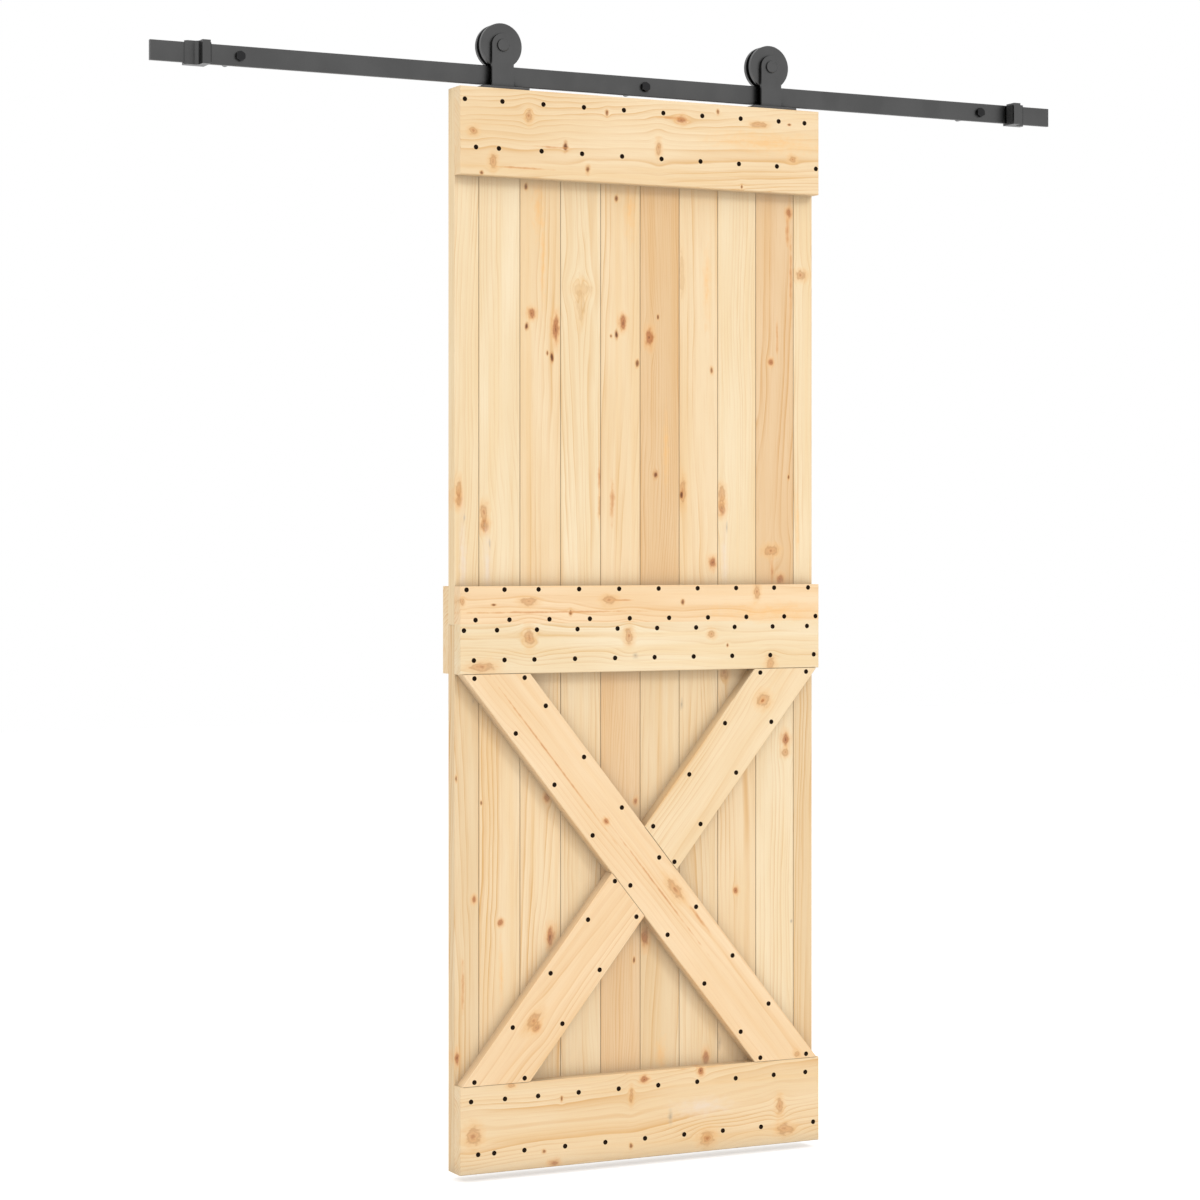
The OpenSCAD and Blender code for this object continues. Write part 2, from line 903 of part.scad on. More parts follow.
axle_nuts();
wheel(hanger_x[0]);  // wheel_left
front_bearing(hanger_x[0]);  // front_bearing_left
rear_bearing(hanger_x[0]);  // rear_bearing_left
wheel(hanger_x[1]);  // wheel_right
front_bearing(hanger_x[1]);  // front_bearing_right
rear_bearing(hanger_x[1]);  // rear_bearing_right
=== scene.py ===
import math

import bpy
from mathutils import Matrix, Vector


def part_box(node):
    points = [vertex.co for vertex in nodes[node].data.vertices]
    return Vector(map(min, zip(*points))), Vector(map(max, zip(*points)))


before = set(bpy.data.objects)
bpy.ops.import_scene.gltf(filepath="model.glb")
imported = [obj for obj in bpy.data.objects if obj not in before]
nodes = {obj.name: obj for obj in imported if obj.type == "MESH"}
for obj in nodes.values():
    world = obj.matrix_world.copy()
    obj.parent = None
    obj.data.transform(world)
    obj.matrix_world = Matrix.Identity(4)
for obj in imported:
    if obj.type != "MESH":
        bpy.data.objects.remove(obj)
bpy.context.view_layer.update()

# One millimetre in metres
MM = 0.001

# The door's own frame: across from its centre line, up from its foot, on its front face
foot_low, foot_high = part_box("bottom_ledge")
door_middle = (foot_low.x + foot_high.x) / 2
door_front = foot_low.y
door_foot = foot_low.z
RIGHT = Vector((1, 0, 0))
BACK = Vector((0, 1, 0))
UP = Vector((0, 0, 1))


def door_point(across, up):
    """Point on the door's front plane, from millimetres across and up."""
    return Vector((door_middle + across * MM, door_front, door_foot + up * MM))


class Graph:
    """One material, with short calls that add its nodes. A value is a number, a colour, a vector or
    another node's output."""

    def __init__(self, name):
        self.material = bpy.data.materials.new(name)
        self.material.use_nodes = True
        self.tree = self.material.node_tree
        self.shader = self.tree.nodes["Principled BSDF"]

    def put(self, socket, value):
        """Links an output to the socket, or sets the socket's own value."""
        if isinstance(value, bpy.types.NodeSocket):
            self.tree.links.new(value, socket)
        else:
            socket.default_value = value

    def add(self, kind, values, **settings):
        """A new node with these settings and these values on its sockets."""
        made = self.tree.nodes.new(kind)
        for key, value in settings.items():
            setattr(made, key, value)
        for key, value in values.items():
            self.put(made.inputs[key], value)
        return made

    def math(self, operation, *values):
        """An operation on numbers."""
        return self.add("ShaderNodeMath", dict(enumerate(values)), operation=operation).outputs[0]

    def vector(self, operation, *values):
        """An operation on vectors that gives a vector."""
        made = self.add("ShaderNodeVectorMath", dict(enumerate(values)), operation=operation)
        return made.outputs["Vector"]

    def measure(self, operation, *values):
        """An operation on vectors that gives a number."""
        made = self.add("ShaderNodeVectorMath", dict(enumerate(values)), operation=operation)
        return made.outputs["Value"]

    def place(self):
        """Place on the piece, in metres, which moves with its body."""
        return self.add("ShaderNodeTexCoord", {}).outputs["Object"]

    def noise(self, place, scale, detail):
        """Even noise of 0 to 1, with so many waves in a metre."""
        made = self.add("ShaderNodeTexNoise", {"Vector": place, "Scale": scale, "Detail": detail})
        return made.outputs[0]

    def drawn_out(self, grain, along, across, detail):
        """Noise of 0 to 1, with so many waves in a metre along the grain and across it."""
        return self.noise(self.vector("MULTIPLY", grain, (along, across, across)), 1.0, detail)

    def openness(self, reach):
        """1 in the open, and less in a corner whose sides stand nearer than the reach."""
        made = self.add("ShaderNodeAmbientOcclusion", {"Distance": reach}, samples=8)
        return made.outputs["AO"]

    def swing(self, value, reach):
        """A noise of 0 to 1 as a value of about -reach to reach."""
        return self.math("MULTIPLY", self.math("SUBTRACT", value, 0.5), 2 * reach)

    def ramp(self, value, start, end, low=0.0, high=1.0):
        """Smooth step from low at start to high at end."""
        values = {"Value": value, "From Min": start, "From Max": end, "To Min": low, "To Max": high}
        return self.add("ShaderNodeMapRange", values, interpolation_type="SMOOTHSTEP").outputs[0]

    def blend(self, amount, first, second, **settings):
        """The first colour, turned into the second one by the amount."""
        values = {0: amount, 6: first, 7: second}
        return self.add("ShaderNodeMix", values, data_type="RGBA", **settings).outputs[2]

    def bump(self, height, distance, strength):
        """Fine relief on the surface."""
        values = {"Height": height, "Distance": distance, "Strength": strength}
        self.put(self.shader.inputs["Normal"], self.add("ShaderNodeBump", values).outputs[0])

    def set(self, **values):
        """Puts values on the shader's own sockets."""
        for key, value in values.items():
            self.put(self.shader.inputs[key.replace("_", " ")], value)


def shade(colour, factors=(1, 1, 1)):
    """A colour times its factors, as an opaque one."""
    return (*(part * factor for part, factor in zip(colour, factors)), 1)


# Wood: each tone is the colour of a board's early wood
PALE = (0.94, 0.765, 0.505)
CREAM = (0.925, 0.72, 0.455)
STRAW = (0.90, 0.71, 0.455)
OAT = (0.87, 0.67, 0.415)
SAND = (0.85, 0.61, 0.36)
TAN = (0.83, 0.58, 0.325)
BLUSH = (0.96, 0.72, 0.45)

# Factors on a tone, for its paler and deeper clouds, its warmer bands and its late wood
PALER = (1.02, 1.04, 1.08)
DEEPER = (0.97, 0.94, 0.9)
HONEY = (0.96, 0.86, 0.70)
LATE_WOOD = (0.82, 0.62, 0.39)

# Shade in the grooves between planks and in inner corners
GROOVE_SHADE = (0.32, 0.20, 0.10)
CORNER_SHADE = (0.40, 0.32, 0.22)
GROOVE_HALF = 0.6 * MM
GROOVE_FADE = 1.5 * MM
CORNER_REACH = 60 * MM

# Half the width over which one glued strip turns into the next, and how far their rings are apart
GLUE_HALF = 0.2 * MM
STRIP_SHIFT = 43 * MM

# Marks in the wood, each from its middle outwards: distance in the mark's own radii, colour
# and how strongly it covers the wood. The grain bends round the marks named in BENDING.
MARKS = {
    "sound": [
        (0.0, (0.26, 0.075, 0.022), 0.92),
        (0.35, (0.54, 0.19, 0.055), 0.86),
        (0.65, (0.44, 0.15, 0.045), 0.84),
        (0.95, (0.68, 0.30, 0.095), 0.7),
        (1.3, (0.86, 0.47, 0.19), 0.45),
        (2.4, (0.92, 0.60, 0.28), 0.0),
    ],
    "dark": [
        (0.0, (0.10, 0.032, 0.012), 0.97),
        (0.7, (0.24, 0.080, 0.025), 0.92),
        (1.05, (0.58, 0.25, 0.08), 0.65),
        (2.0, (0.88, 0.54, 0.24), 0.0),
    ],
    "soft": [
        (0.0, (0.52, 0.21, 0.07), 0.84),
        (0.45, (0.72, 0.37, 0.14), 0.7),
        (0.85, (0.60, 0.30, 0.115), 0.74),
        (1.2, (0.85, 0.51, 0.22), 0.5),
        (2.4, (0.93, 0.61, 0.29), 0.0),
    ],
    "faint": [
        (0.0, (0.82, 0.53, 0.25), 0.5),
        (0.85, (0.72, 0.44, 0.20), 0.5),
        (1.2, (0.88, 0.58, 0.28), 0.3),
        (2.2, (0.92, 0.62, 0.31), 0.0),
    ],
    "pin": [
        (0.0, (0.16, 0.052, 0.016), 0.95),
        (0.8, (0.42, 0.17, 0.05), 0.85),
        (1.3, (0.80, 0.44, 0.17), 0.5),
        (2.2, (0.90, 0.56, 0.25), 0.0),
    ],
    "streak": [
        (0.0, (0.60, 0.21, 0.06), 0.7),
        (0.6, (0.74, 0.34, 0.11), 0.5),
        (1.4, (0.88, 0.52, 0.22), 0.0),
    ],
    "honey": [
        (0.0, (0.95, 0.55, 0.21), 0.6),
        (1.4, (0.95, 0.62, 0.29), 0.0),
    ],
    "grey": [
        (0.0, (0.42, 0.33, 0.24), 0.7),
        (1.5, (0.76, 0.60, 0.40), 0.0),
    ],
    "bloom": [
        (0.0, (0.90, 0.78, 0.68), 0.55),
        (1.3, (0.92, 0.76, 0.57), 0.0),
    ],
}
BENDING = ("sound", "dark", "soft", "faint", "pin")


def mark_over(g, colour, distance, rings):
    """The colour with one mark laid over it, and how strongly the mark covers."""
    reach = rings[-1][0]
    scale = g.math("DIVIDE", distance, reach)
    made = g.add("ShaderNodeValToRGB", {0: scale})
    stops = made.color_ramp.elements
    stops.remove(stops[1])
    for number, (at, tint, strength) in enumerate(rings):
        stop = stops[0] if number == 0 else stops.new(at / reach)
        stop.position = at / reach
        stop.color = (*tint, strength)
    return g.blend(made.outputs["Alpha"], colour, made.outputs["Color"]), made.outputs["Alpha"]


def pine(name, centre, along, across, tone, pith, ring, figure, seed, marks=(), seams=(), glue=()):
    """Solid pine: growth rings round a pith, bent round its knots, with fibres along the board.
    Pith is how far the rings' centre lies across and behind the board's middle, and how far it
    drifts across in a metre of board. Ring is the width of a year's growth. Both are in
    millimetres. Figure is how strongly the rings show. Seams are the places across the board, in
    metres, where it meets the next one. Glue is the place of a glued joint across the board, in
    metres, and the colour factors of the strip below it."""
    g = Graph(name)
    offset = g.vector("SUBTRACT", g.place(), centre)
    length = g.measure("DOT_PRODUCT", offset, along)
    width = g.measure("DOT_PRODUCT", offset, across)
    depth = g.measure("DOT_PRODUCT", offset, BACK)
    grain = g.add("ShaderNodeCombineXYZ", {0: length, 1: width, 2: depth}).outputs[0]
    moved = g.vector("ADD", grain, (seed * 1.37, seed * 0.71, seed * 0.53))

    # The grain wanders across the board, and a mark's outline is uneven
    long_wave = g.swing(g.drawn_out(moved, 1.3, 7, 1.0), 35 * MM)
    short_wave = g.swing(g.drawn_out(moved, 6, 34, 2.0), 6 * MM)
    wave = g.math("ADD", long_wave, short_wave)
    rough_edge = g.swing(g.drawn_out(moved, 65, 120, 3.0), 0.9)

    # Each mark's distance in its own radii, and the grain's flow around it
    bent = width
    spots = []
    for across_at, up_at, half_length, half_width, kind in marks:
        spot = door_point(across_at, up_at) - centre
        spot_length = spot.dot(along)
        spot_width = spot.dot(across)
        scale = (1 / (half_length * MM), 1 / (half_width * MM), 0)
        away = g.vector("MULTIPLY", g.vector("SUBTRACT", grain, (spot_length, spot_width, 0)), scale)
        spots.append((g.math("ADD", g.measure("LENGTH", away), rough_edge), kind))
        if kind in BENDING:
            wide = g.vector("MULTIPLY", away, (0.5, 0.7, 0))
            fall = g.math("ADD", g.measure("DOT_PRODUCT", wide, wide), 0.55)
            push = g.math("DIVIDE", g.math("SUBTRACT", width, spot_width), fall)
            bent = g.math("SUBTRACT", bent, push)

    # Growth rings, closer together in some years than in others
    pith_across, pith_behind, drift = (value * MM for value in pith)
    lean = g.math("MULTIPLY", length, drift)
    pith_aside = g.math("SUBTRACT", g.math("ADD", bent, wave), g.math("ADD", lean, pith_across))
    if glue:
        joint, strip_factors = glue
        below = g.ramp(width, joint + GLUE_HALF, joint - GLUE_HALF)
        pith_aside = g.math("ADD", pith_aside, g.math("MULTIPLY", below, STRIP_SHIFT))
    pith_depth = g.math("SUBTRACT", depth, pith_behind)
    squares = g.math("ADD", g.math("POWER", pith_aside, 2.0), g.math("POWER", pith_depth, 2.0))
    radius = g.math("SQRT", squares)
    years = g.noise(g.add("ShaderNodeCombineXYZ", {0: radius, 1: seed}).outputs[0], 55.0, 1.0)
    rings = g.math("ADD", g.math("DIVIDE", radius, ring * MM), g.swing(years, 1.3))
    phase = g.math("FRACT", rings)
    late = g.math("MULTIPLY", g.math("POWER", phase, 3.5), g.ramp(phase, 1.0, 0.9))
    fine_phase = g.math("FRACT", g.math("MULTIPLY", rings, 3.0))
    late = g.math("ADD", late, g.math("MULTIPLY", g.math("POWER", fine_phase, 2.0), 0.22))

    # Late wood fades and returns along the board, and the whole tone drifts
    patchy = g.drawn_out(moved, 2.4, 24, 3.0)
    late = g.math("MULTIPLY", late, g.ramp(patchy, 0.32, 0.7, 0.12 * figure, figure))
    fibre = g.drawn_out(moved, 14, 620, 2.0)
    band = g.drawn_out(moved, 1.1, 60, 2.0)
    cloud = g.drawn_out(moved, 2.6, 14, 2.0)

    late_tone = shade(tone, LATE_WOOD)
    colour = g.blend(g.ramp(cloud, 0.3, 0.7), shade(tone, PALER), shade(tone, DEEPER))
    colour = g.blend(g.ramp(band, 0.45, 0.75, 0.0, 0.5), colour, shade(tone, HONEY))
    colour = g.blend(late, colour, late_tone)
    colour = g.blend(g.ramp(fibre, 0.5, 0.85, 0.0, 0.3), colour, late_tone)
    if glue:
        colour = g.blend(below, colour, shade(strip_factors), blend_type="MULTIPLY")

    # Late wood and knots are harder: they stand up a little and shine more
    solid = late
    for distance, kind in spots:
        colour, cover = mark_over(g, colour, distance, MARKS[kind])
        if kind in BENDING:
            solid = g.math("MAXIMUM", solid, cover)
    for seam in seams:
        aside = g.math("ABSOLUTE", g.math("SUBTRACT", width, seam))
        colour = g.blend(g.ramp(aside, GROOVE_FADE, GROOVE_HALF, 0.0, 0.28), colour, shade(GROOVE_SHADE))

    # Painted shade: inner corners between boards are darker, where shade falls
    painted_corner_shade = g.ramp(g.openness(CORNER_REACH), 0.97, 0.45, 0.0, 0.58)
    colour = g.blend(painted_corner_shade, colour, shade(CORNER_SHADE))

    g.set(Base_Color=colour, Roughness=g.ramp(solid, 0.0, 1.0, 0.62, 0.48), Specular_IOR_Level=0.3)
    relief = g.math("ADD", solid, g.math("MULTIPLY", fibre, 0.6))
    g.bump(relief, distance=0.3 * MM, strength=0.35)
    return g.material


def dress(node, material):
    """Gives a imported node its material."""
    for slot in nodes[node].material_slots:
        slot.material = material


# Planks: tone, pith across, pith behind, drift and ring spacing in millimetres, and figure
UPPER_PLANKS = [
    (PALE, -90, 60, 14, 7, 0.9),
    (PALE, 110, 40, -18, 8, 0.6),
    (CREAM, -40, 50, 30, 7, 0.9),
    (PALE, 70, 70, -26, 9, 0.9),
    (CREAM, -16, 46, 34, 7, 1.1),
    (TAN, 120, 30, 10, 5, 1.0),
    (CREAM, 20, 60, -30, 8, 0.9),
    (PALE, -130, 30, 12, 7, 0.8),
    (SAND, -10, 44, 40, 8, 1.3),
    (PALE, 60, 50, -20, 7, 1.1),
]
LOWER_PLANKS = [
    (OAT, 30, 50, -34, 8, 1.6),
    (CREAM, 10, 46, 36, 8, 1.3),
    (CREAM, -60, 60, 24, 7, 1.3),
    (STRAW, 90, 30, -14, 6, 1.0),
    (SAND, 110, 26, 12, 5, 1.0),
    (OAT, 16, 52, 30, 8, 1.2),
    (STRAW, -80, 40, -22, 7, 1.1),
    (CREAM, 20, 48, -36, 7, 1.1),
    (PALE, -110, 60, 16, 9, 0.8),
    (OAT, 40, 36, 20, 6, 1.2),
]

# Marks on each board: across and up on the door, half length along the grain, half width
# across it, in millimetres, and the kind
BOARD_MARKS = {
    "upper_plank_1": [
        (-391, 1304, 14, 6, "sound"),
        (-391, 1322, 18, 5, "soft"),
        (-379, 1266, 9, 2, "grey"),
        (-382, 1180, 110, 8, "bloom"),
    ],
    "upper_plank_2": [
        (-337, 1253, 11, 8, "sound"),
        (-337, 1276, 16, 7, "soft"),
        (-325, 1217, 10, 2, "grey"),
        (-330, 1170, 70, 9, "bloom"),
    ],
    "upper_plank_3": [
        (-247, 1916, 5, 3, "pin"),
        (-221, 1880, 60, 13, "honey"),
        (-235, 1668, 9, 7, "sound"),
        (-246, 1643, 6, 3, "dark"),
        (-183, 1640, 22, 7, "sound"),
        (-201, 1591, 4, 2, "pin"),
        (-191, 1584, 8, 3, "dark"),
        (-210, 1780, 90, 6, "honey"),
    ],
    "upper_plank_4": [
        (-126, 1720, 12, 17, "faint"),
        (-128, 1690, 30, 8, "faint"),
        (-86, 1345, 30, 4, "streak"),
        (-84, 1292, 18, 4, "soft"),
    ],
    "upper_plank_5": [
        (-49, 1903, 5, 3, "pin"),
        (-18, 1885, 60, 14, "honey"),
        (-35, 1657, 12, 7, "sound"),
        (-49, 1632, 8, 3, "dark"),
        (-61, 1629, 3, 2, "pin"),
        (-3, 1577, 6, 3, "pin"),
        (-58, 1300, 40, 5, "streak"),
    ],
    "upper_plank_6": [
        (25, 1629, 16, 8, "sound"),
        (44, 1671, 4, 2, "pin"),
        (38, 1355, 7, 4, "dark"),
        (62, 1400, 70, 6, "honey"),
    ],
    "upper_plank_7": [
        (166, 1568, 6, 3, "pin"),
        (98, 1760, 40, 5, "faint"),
        (100, 1322, 24, 6, "soft"),
        (97, 1316, 6, 3, "dark"),
        (168, 1179, 10, 8, "sound"),
        (155, 1740, 80, 8, "honey"),
    ],
    "upper_plank_8": [
        (189, 1290, 13, 8, "sound"),
        (189, 1316, 16, 7, "soft"),
        (201, 1251, 10, 2, "grey"),
        (196, 1180, 80, 8, "bloom"),
    ],
    "upper_plank_9": [
        (345, 1893, 9, 6, "sound"),
        (342, 1858, 32, 4, "streak"),
        (350, 1760, 90, 3, "streak"),
        (303, 1587, 6, 5, "sound"),
        (318, 1640, 40, 3, "streak"),
        (345, 1354, 4, 2, "pin"),
        (303, 1204, 9, 14, "soft"),
        (306, 1160, 30, 4, "streak"),
        (325, 1146, 9, 8, "sound"),
    ],
    "upper_plank_10": [
        (373, 1767, 8, 12, "soft"),
        (366, 1250, 70, 4, "honey"),
    ],
    "lower_plank_1": [
        (-396, 763, 5, 2, "pin"),
        (-358, 528, 6, 5, "sound"),
        (-359, 912, 7, 5, "grey"),
        (-394, 223, 12, 4, "sound"),
        (-382, 359, 50, 3, "streak"),
    ],
    "lower_plank_2": [
        (-343, 714, 4, 2, "pin"),
        (-302, 479, 6, 6, "sound"),
        (-300, 380, 60, 5, "honey"),
    ],
    "lower_plank_3": [
        (-202, 720, 8, 6, "sound"),
        (-194, 447, 17, 8, "sound"),
        (-240, 330, 50, 4, "streak"),
    ],
    "lower_plank_5": [
        (-6, 705, 6, 4, "sound"),
        (-10, 389, 5, 2, "pin"),
    ],
    "lower_plank_6": [
        (14, 435, 18, 7, "sound"),
        (51, 187, 40, 13, "honey"),
    ],
    "lower_plank_7": [
        (98, 895, 11, 4, "grey"),
        (153, 182, 14, 6, "sound"),
    ],
    "lower_plank_8": [
        (196, 958, 12, 8, "soft"),
        (222, 516, 6, 5, "sound"),
        (184, 212, 14, 5, "grey"),
    ],
    "lower_plank_9": [
        (337, 818, 12, 8, "sound"),
        (337, 792, 8, 8, "soft"),
        (351, 446, 4, 3, "grey"),
    ],
    "top_ledge": [
        (-254, 2050, 6, 11, "soft"),
        (-372, 2014, 8, 7, "soft"),
        (-331, 1957, 7, 12, "soft"),
        (-175, 1995, 4, 8, "dark"),
        (-200, 1992, 40, 2, "streak"),
        (-84, 2067, 3, 5, "pin"),
        (83, 2064, 10, 7, "sound"),
        (60, 2066, 30, 3, "streak"),
        (165, 2085, 3, 4, "pin"),
        (258, 2065, 16, 5, "soft"),
        (330, 2069, 3, 2, "pin"),
        (31, 2004, 5, 13, "soft"),
        (338, 1999, 7, 7, "soft"),
        (-126, 1953, 4, 6, "pin"),
        (-355, 1934, 3, 3, "pin"),
        (-270, 1948, 60, 2, "streak"),
        (220, 1937, 2, 4, "pin"),
        (280, 2030, 120, 20, "honey"),
    ],
    "middle_ledge": [
        (-395, 1106, 4, 6, "soft"),
        (-329, 1099, 4, 2, "pin"),
        (-255, 1105, 15, 7, "soft"),
        (-164, 1083, 3, 5, "pin"),
        (-79, 1106, 13, 8, "soft"),
        (-50, 1106, 24, 2, "streak"),
        (85, 1101, 3, 4, "pin"),
        (255, 1121, 6, 13, "soft"),
        (-253, 1035, 9, 14, "soft"),
        (-35, 1035, 8, 13, "soft"),
        (150, 1037, 7, 7, "soft"),
        (-21, 996, 6, 6, "grey"),
        (187, 1013, 2, 3, "pin"),
        (287, 975, 9, 11, "soft"),
        (-353, 979, 22, 9, "soft"),
        (-200, 1084, 200, 2, "streak"),
        (290, 1080, 130, 18, "honey"),
    ],
    "bottom_ledge": [
        (-372, 74, 14, 16, "soft"),
        (-183, 131, 2, 4, "pin"),
        (-200, 7, 9, 6, "sound"),
        (-221, 32, 4, 3, "pin"),
        (-1, 155, 8, 6, "sound"),
        (-30, 126, 4, 13, "soft"),
        (126, 162, 6, 8, "sound"),
        (141, 25, 15, 13, "soft"),
        (141, 25, 7, 6, "soft"),
        (319, 29, 17, 10, "soft"),
        (308, 76, 7, 15, "soft"),
        (57, 77, 5, 14, "grey"),
        (-31, 25, 3, 5, "pin"),
        (-292, 166, 8, 4, "soft"),
        (130, 90, 70, 20, "bloom"),
    ],
    "long_brace": [
        (-86, 670, 6, 5, "sound"),
        (68, 529, 22, 9, "soft"),
        (122, 468, 34, 3, "streak"),
        (-210, 806, 190, 2, "streak"),
        (20, 545, 150, 2, "streak"),
        (348, 180, 6, 5, "soft"),
    ],
    "upper_brace": [
        (270, 902, 12, 13, "soft"),
        (268, 900, 4, 3, "sound"),
    ],
    "lower_brace": [
        (-239, 276, 9, 9, "sound"),
        (-244, 288, 18, 9, "soft"),
    ],
}


def middle_of(node):
    """Middle of a node's box."""
    low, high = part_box(node)
    return (low + high) / 2


def plank_seams(number, count):
    """Where a plank meets its neighbours, from its box's middle. A plank's box has its tongue, and
    the lower planks stand under the upper ones."""
    middle = middle_of(f"upper_plank_{number}").x
    found = []
    if number > 1:
        found.append(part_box(f"upper_plank_{number}")[0].x - middle)
    if number < count:
        found.append(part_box(f"upper_plank_{number + 1}")[0].x - middle)
    return found


def plank_material(node, row, seed, seams):
    """Pine for one plank, from its row in the tables."""
    tone, pith_across, pith_behind, drift, ring, figure = row
    pith = (pith_across, pith_behind, drift)
    marks = BOARD_MARKS.get(node, ())
    return pine(node, middle_of(node), UP, RIGHT, tone, pith, ring, figure, seed, marks, seams)


for number, (upper, lower) in enumerate(zip(UPPER_PLANKS, LOWER_PLANKS), start=1):
    seams = plank_seams(number, len(UPPER_PLANKS))
    lower_seed = number + len(UPPER_PLANKS)
    dress(f"upper_plank_{number}", plank_material(f"upper_plank_{number}", upper, number, seams))
    dress(f"lower_plank_{number}", plank_material(f"lower_plank_{number}", lower, lower_seed, seams))

# Ledges: tone, pith, ring, figure and seed
LEDGES = {
    "top_ledge": (CREAM, (-30, 60, 60), 7, 1.05, 31),
    "middle_ledge": (BLUSH, (60, 50, -50), 7, 1.1, 32),
    "bottom_ledge": (CREAM, (20, 56, 70), 7, 1.15, 33),
    "back_ledge": (CREAM, (-50, -60, 40), 8, 1.2, 34),
}
# The middle ledge is glued up from two strips, the lower one paler
GLUE = {"middle_ledge": (12 * MM, (0.975, 1.07, 1.15))}
for node, (tone, pith, ring, figure, seed) in LEDGES.items():
    marks = BOARD_MARKS.get(node, ())
    glue = GLUE.get(node, ())
    middle = middle_of(node)
    dress(node, pine(node, middle, RIGHT, UP, tone, pith, ring, figure, seed, marks, glue=glue))

# Braces: the long one runs down to the right, at a slope worked out from the field it fills
field_low, field_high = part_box("long_brace")
BRACE_WIDTH = 112 * MM
field_width = field_high.x - field_low.x
field_height = field_high.z - field_low.z
slope = math.atan2(field_height, field_width)
slope += math.asin(BRACE_WIDTH / math.hypot(field_width, field_height))
down_right = Vector((math.cos(slope), 0, -math.sin(slope)))
up_right = Vector((math.cos(slope), 0, math.sin(slope)))
brace_middle = middle_of("long_brace")
BRACES = {
    "long_brace": (down_right, BLUSH, (70, 60, 24), 10, 0.6, 41),
    "upper_brace": (up_right, CREAM, (-60, 50, 30), 8, 0.7, 42),
    "lower_brace": (up_right, BLUSH, (30, 60, -26), 8, 1.0, 43),
}
for node, (along, tone, pith, ring, figure, seed) in BRACES.items():
    across = Vector((-along.z, 0, along.x))
    marks = BOARD_MARKS[node]
    dress(node, pine(node, brace_middle, along, across, tone, pith, ring, figure, seed, marks))


# Metal and rubber: radius of the worn edges, and reach of the shade in inner corners
EDGE_RADIUS = 1.2 * MM
COAT_CORNER_REACH = 30 * MM


def edge_wear(g, radius):
    """How far a rounded edge's normal turns from the face's own, as 0 to 1."""
    rounded = g.add("ShaderNodeBevel", {"Radius": radius}, samples=6).outputs[0]
    face = g.add("ShaderNodeNewGeometry", {}).outputs["True Normal"]
    return g.ramp(g.measure("DOT_PRODUCT", rounded, face), 0.99, 0.8)


def coated_steel(name, coat, worn, roughness):
    """Powder coat: a fine orange peel, faint clouds, a thinner coat along the edges and painted
    shade in inner corners."""
    g = Graph(name)
    place = g.place()
    peel = g.noise(place, 700.0, 2.0)
    cloud = g.noise(place, 14.0, 3.0)
    tint = g.blend(g.ramp(cloud, 0.3, 0.7), shade(coat, (0.93,) * 3), shade(coat, (1.07,) * 3))
    uneven = g.ramp(g.noise(place, 60.0, 3.0), 0.35, 0.7, 0.2, 0.8)
    edge = g.math("MULTIPLY", edge_wear(g, EDGE_RADIUS), uneven)
    colour = g.blend(edge, tint, shade(worn))
    # Painted shade: the coat's inner corners turn nearly black, where shade falls
    painted_corner_shade = g.ramp(g.openness(COAT_CORNER_REACH), 0.67, 0.45, 0.0, 0.9)
    colour = g.blend(painted_corner_shade, colour, shade(COAT_CORNER_SHADE))
    g.set(Base_Color=colour, Metallic=1.0)
    g.set(Roughness=g.ramp(cloud, 0.2, 0.8, roughness - 0.06, roughness + 0.06))
    g.bump(peel, distance=0.2 * MM, strength=0.25)
    return g.material


def bare_steel(name, colour, roughness):
    """Turned steel with fine marks of the tool."""
    g = Graph(name)
    place = g.place()
    fine = g.noise(g.vector("MULTIPLY", place, (900, 60, 900)), 1.0, 2.0)
    g.set(Base_Color=g.blend(fine, shade(colour, (0.9,) * 3), shade(colour)), Metallic=1.0)
    g.set(Roughness=g.ramp(fine, 0.2, 0.8, roughness - 0.08, roughness + 0.1))
    g.bump(fine, distance=0.1 * MM, strength=0.2)
    return g.material


def black_rubber(name, colour):
    """Matt rubber with a fine moulded grain."""
    g = Graph(name)
    place = g.place()
    grain = g.noise(place, 1200.0, 2.0)
    dust = g.noise(place, 90.0, 3.0)
    g.set(Base_Color=g.blend(g.ramp(dust, 0.4, 0.8), shade(colour), shade(colour, (1.6,) * 3)))
    g.set(Roughness=g.ramp(dust, 0.2, 0.8, 0.75, 0.9), Specular_IOR_Level=0.3)
    g.bump(grain, distance=0.2 * MM, strength=0.4)
    return g.material


COAT_GREY = (0.105, 0.105, 0.105)
COAT_WORN = (0.125, 0.125, 0.125)
# Colour of the painted shade in the coat's inner corners
COAT_CORNER_SHADE = (0.012, 0.012, 0.012)
BOLT_GREY = (0.035, 0.035, 0.036)
BOLT_WORN = (0.08, 0.08, 0.08)
SCREW_BLACK = (0.022, 0.012, 0.007)
SCREW_WORN = (0.035, 0.028, 0.022)
BEARING_STEEL = (0.56, 0.56, 0.57)
RUBBER_BLACK = (0.018, 0.018, 0.018)

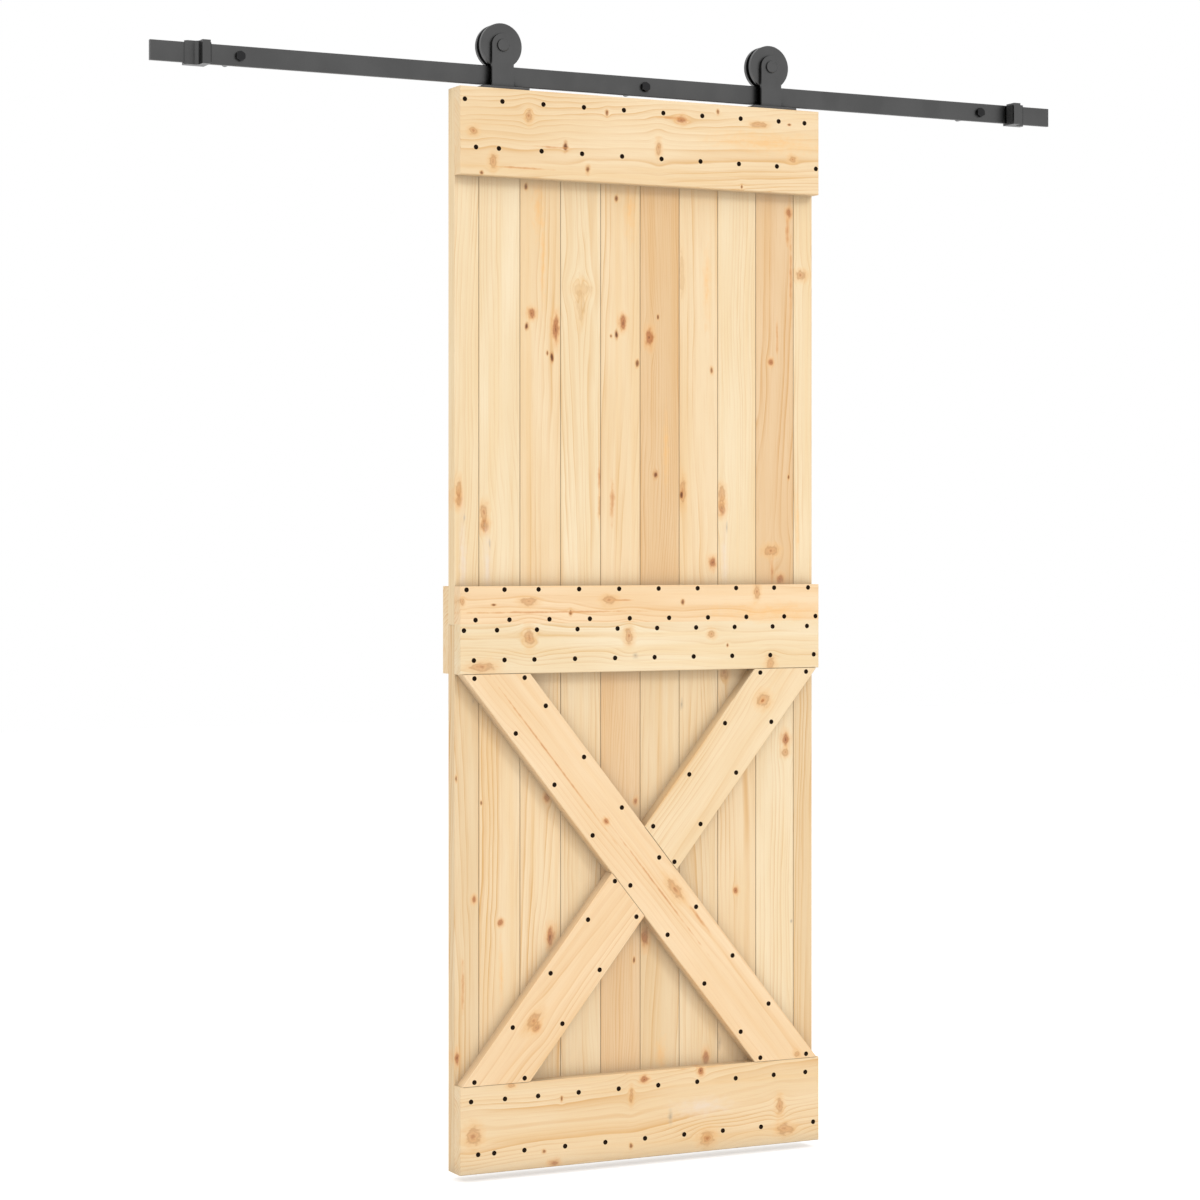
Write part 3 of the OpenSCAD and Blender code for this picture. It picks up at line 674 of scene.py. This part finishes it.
FINISHES = [
    (
        coated_steel("grey_coat", COAT_GREY, COAT_WORN, 0.38),
        ["rail", "stop_left", "stop_right", "hanger_left", "hanger_right", "wheel_left", "wheel_right"]
        + ["standoff_left", "standoff_middle", "standoff_right", "axle_bolt_left", "axle_bolt_right"],
    ),
    (
        coated_steel("dark_bolt", BOLT_GREY, BOLT_WORN, 0.3),
        ["rail_bolts", "axle_nuts"],
    ),
    (
        coated_steel("black_screw", SCREW_BLACK, SCREW_WORN, 0.45),
        ["top_ledge_screws", "middle_ledge_screws", "bottom_ledge_screws", "brace_screws"]
        + ["foot_screws", "stop_set_screws"],
    ),
    (
        bare_steel("bearing_steel", BEARING_STEEL, 0.32),
        ["axle_washers", "axle_sleeve_left", "axle_sleeve_right"]
        + ["front_bearing_left", "rear_bearing_left", "front_bearing_right", "rear_bearing_right"],
    ),
    (
        black_rubber("rubber", RUBBER_BLACK),
        ["stop_pad_left", "stop_pad_right"],
    ),
]
for material, names in FINISHES:
    for node in names:
        dress(node, material)

# Floor just under the hanging door
FLOOR_GAP = 15 * MM
FLOOR_REACH = 14.0
floor_height = door_foot - FLOOR_GAP
floor_mesh = bpy.data.meshes.new("floor")
corners = [(-1, -1), (1, -1), (1, 1), (-1, 1)]
floor_points = [(x * FLOOR_REACH, y * FLOOR_REACH, floor_height) for x, y in corners]
floor_mesh.from_pydata(floor_points, [], [(0, 1, 2, 3)])
floor = bpy.data.objects.new("floor", floor_mesh)
bpy.context.scene.collection.objects.link(floor)


def seen_directly(tree):
    """1 for rays that show the stage itself: from the camera, off metal or through glass."""
    rays = tree.nodes.new("ShaderNodeLightPath")
    total = rays.outputs["Is Camera Ray"]
    for name in ("Is Glossy Ray", "Is Transmission Ray"):
        both = tree.nodes.new("ShaderNodeMath")
        both.operation = "MAXIMUM"
        tree.links.new(total, both.inputs[0])
        tree.links.new(rays.outputs[name], both.inputs[1])
        total = both.outputs[0]
    return total


# The floor is pale paper, lifted to white where it is seen, and darker where the door shades it
WHITE = (1, 1, 1, 1)
FLOOR_COLOUR = (0.8, 0.8, 0.8, 1)
FLOOR_ROUGHNESS = 0.9
FLOOR_LIFT = 0.5
paper = bpy.data.materials.new("floor_paper")
paper.use_nodes = True
paper_tree = paper.node_tree
paper_shader = paper_tree.nodes["Principled BSDF"]
paper_shader.inputs["Base Color"].default_value = FLOOR_COLOUR
paper_shader.inputs["Roughness"].default_value = FLOOR_ROUGHNESS
paper_shader.inputs["Emission Color"].default_value = WHITE
lift = paper_tree.nodes.new("ShaderNodeMath")
lift.operation = "MULTIPLY"
lift.inputs[1].default_value = FLOOR_LIFT
paper_tree.links.new(seen_directly(paper_tree), lift.inputs[0])
paper_tree.links.new(lift.outputs[0], paper_shader.inputs["Emission Strength"])
floor_mesh.materials.append(paper)

# World: soft light all round, and plain white where it is seen
AMBIENT = 0.71
world = bpy.data.worlds.new("studio")
bpy.context.scene.world = world
world.use_nodes = True
world_tree = world.node_tree
soft = world_tree.nodes["Background"]
soft.inputs["Color"].default_value = WHITE
soft.inputs["Strength"].default_value = AMBIENT
white = world_tree.nodes.new("ShaderNodeBackground")
white.inputs["Color"].default_value = WHITE
white.inputs["Strength"].default_value = 1.0
either = world_tree.nodes.new("ShaderNodeMixShader")
world_tree.links.new(seen_directly(world_tree), either.inputs[0])
world_tree.links.new(soft.outputs[0], either.inputs[1])
world_tree.links.new(white.outputs[0], either.inputs[2])
world_tree.links.new(either.outputs[0], world_tree.nodes["World Output"].inputs["Surface"])


def area_light(name, place, target, size, power):
    """Soft light that faces a point, and that metal doesn't mirror."""
    data = bpy.data.lights.new(name, "AREA")
    data.size = size
    data.energy = power
    light = bpy.data.objects.new(name, data)
    light.location = place
    light.rotation_euler = (target - place).to_track_quat("-Z", "Y").to_euler()
    light.visible_glossy = False
    bpy.context.scene.collection.objects.link(light)


# Lights: place from the door's centre and size in metres, height that they face on the door in
# millimetres, and power in watts
DOOR_CENTRE_UP = 1050
LIGHTS = {
    "key": ((4.0, -7.0, 5.5), 2.4, DOOR_CENTRE_UP, 205),
    "low": ((0.8, -3.0, -0.7), 1.5, 150, 13),
    "fill": ((-5.0, -1.2, 4.2), 3.0, DOOR_CENTRE_UP, 95),
}
for name, (offset, size, facing, power) in LIGHTS.items():
    place = door_point(0, DOOR_CENTRE_UP) + Vector(offset)
    area_light(name, place, door_point(0, facing), size, power)

# Camera: level, to the left of the door, with the horizon above the picture's middle
PICTURE_PIXELS = 1200
FOCAL_PIXELS = 3014.2
HORIZON_PIXELS = 545.8
CAMERA_TURN = math.radians(26.45)
CAMERA_LEFT = 2.743
CAMERA_FRONT = 5.314
CAMERA_HEIGHT = 1.2134
camera_data = bpy.data.cameras.new("camera")
camera_data.lens = camera_data.sensor_width * FOCAL_PIXELS / PICTURE_PIXELS
camera_data.shift_y = (HORIZON_PIXELS - PICTURE_PIXELS / 2) / PICTURE_PIXELS
camera = bpy.data.objects.new("camera", camera_data)
camera.location = (door_middle - CAMERA_LEFT, door_front - CAMERA_FRONT, door_foot + CAMERA_HEIGHT)
camera.rotation_euler = (math.radians(90), 0, -CAMERA_TURN)
bpy.context.scene.collection.objects.link(camera)
bpy.context.scene.camera = camera

bpy.context.scene.view_settings.view_transform = "Standard"
